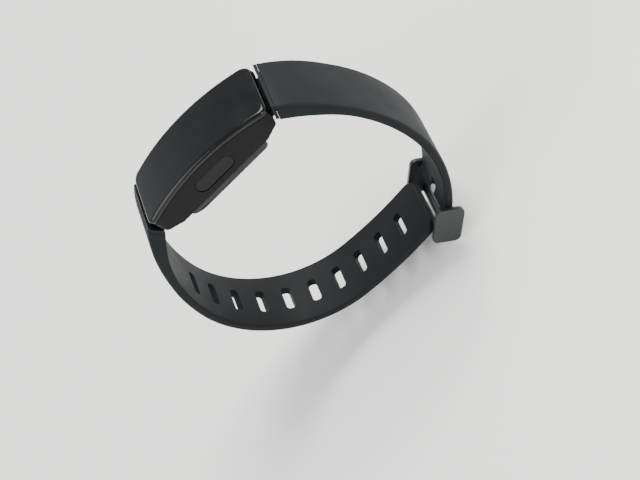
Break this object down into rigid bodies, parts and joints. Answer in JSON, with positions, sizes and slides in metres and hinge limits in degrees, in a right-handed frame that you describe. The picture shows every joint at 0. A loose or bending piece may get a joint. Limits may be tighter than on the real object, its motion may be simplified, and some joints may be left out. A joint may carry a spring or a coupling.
{
  "type": "fitness tracker band",
  "caption": "Slim fitness tracker with a lengthwise-curved glass face on two flexible elastomer straps, one slotted, the other with a pin buckle.",
  "frame": {"origin": "centre of the skin face on the tracker's back", "axes": "+X along the tracker to the buckle strap, +Y across the band, +Z out of the display"},
  "size_m": [0.063, 0.0184, 0.066],
  "materials": {
    "cover_glass": "polished, black tinted",
    "black_seal": "matte",
    "display": "gloss",
    "inner_plastic": "moulded",
    "board": "solder mask",
    "chip_plastic": "moulded",
    "tinned_steel": "satin",
    "cell_foil": "foil",
    "steel": "polished",
    "housing_plastic": "satin gloss",
    "touch_pad": "fine gloss",
    "rear_plastic": "satin",
    "sensor_glass": "polished",
    "gold": "plated",
    "buckle_plastic": "satin",
    "adapter_plastic": "satin",
    "strap": "matte, fine texture"
  },
  "bodies": {
    "tracker": {"lens_glass": "cover_glass", "lens_gasket": "black_seal", "display_panel": "display", "inner_frame": "inner_plastic", "circuit_board": "board", "processor_chip": "chip_plastic", "radio_shield": "tinned_steel", "battery_cell": "cell_foil", "vibration_motor": "tinned_steel", "main_housing": "housing_plastic", "side_touch_pads": "touch_pad", "rear_seal": "black_seal", "rear_cover": "rear_plastic", "sensor_window": "sensor_glass", "sensor_board": "board", "sensor_leds": "sensor_glass", "photodiode": "chip_plastic", "charging_contacts": "gold"},
    "motor_rotor": {"motor_weight": "steel"},
    "buckle_side_root": {"buckle_adapter": "adapter_plastic", "buckle_spring_bar": "steel", "buckle_bar_spring": "steel", "buckle_strap_root": "strap"},
    "buckle_release": {"buckle_release_pin": "steel"},
    "buckle_side_end": {"buckle_strap_end": "strap"},
    "buckle": {"buckle_frame": "buckle_plastic", "buckle_pin": "steel"},
    "tang": {"buckle_tang": "steel"},
    "tail_side_root": {"tail_adapter": "adapter_plastic", "tail_spring_bar": "steel", "tail_bar_spring": "steel", "tail_strap_root": "strap"},
    "tail_release": {"tail_release_pin": "steel"},
    "tail_side_end": {"tail_strap_end": "strap"}
  },
  "joints": [
    {"name": "motor_spin", "type": "hinge", "parent": "tracker", "child": "motor_rotor", "pos_m": [0.0106, 0, 0.0056], "axis": [0, 1, 0], "continuous": true},
    {"name": "buckle_strap_pivot", "type": "hinge", "parent": "tracker", "child": "buckle_side_root", "pos_m": [0.0152, 0, 0.0061], "axis": [0, -1, 0], "range_deg": [0, 6]},
    {"name": "tail_strap_pivot", "type": "hinge", "parent": "tracker", "child": "tail_side_root", "pos_m": [-0.0152, 0, 0.0061], "axis": [0, 1, 0], "range_deg": [0, 6]},
    {"name": "buckle_strap_flex", "type": "hinge", "parent": "buckle_side_root", "child": "buckle_side_end", "pos_m": [0.02907, 0, -0.01137], "axis": [0, -1, 0], "range_deg": [0, 50], "stiffness_Nm_per_rad": 0.05},
    {"name": "tail_strap_flex", "type": "hinge", "parent": "tail_side_root", "child": "tail_side_end", "pos_m": [-0.02744, 0, -0.00665], "axis": [0, 1, 0], "range_deg": [0, 50], "stiffness_Nm_per_rad": 0.05},
    {"name": "buckle_frame_hinge", "type": "hinge", "parent": "buckle_side_end", "child": "buckle", "pos_m": [0.02044, 0, -0.04591], "axis": [0, -1, 0], "range_deg": [-12, 40]},
    {"name": "tang_hinge", "type": "hinge", "parent": "buckle", "child": "tang", "pos_m": [0.02044, 0, -0.04591], "axis": [0, -1, 0], "range_deg": [0, 85]},
    {"name": "buckle_release", "type": "slide", "parent": "buckle_side_root", "child": "buckle_release", "axis": [0, 1, 0], "range_m": [0, 0.0014], "stiffness_N_per_m": 200, "deforming": ["buckle_bar_spring"]},
    {"name": "tail_release", "type": "slide", "parent": "tail_side_root", "child": "tail_release", "axis": [0, 1, 0], "range_m": [0, 0.0014], "stiffness_N_per_m": 200, "deforming": ["tail_bar_spring"]}
  ],
  "couplings": [
    {"joint": "tail_strap_pivot", "follows": "buckle_strap_pivot", "ratio": 1},
    {"joint": "tail_strap_flex", "follows": "buckle_strap_flex", "ratio": 1}
  ]
}
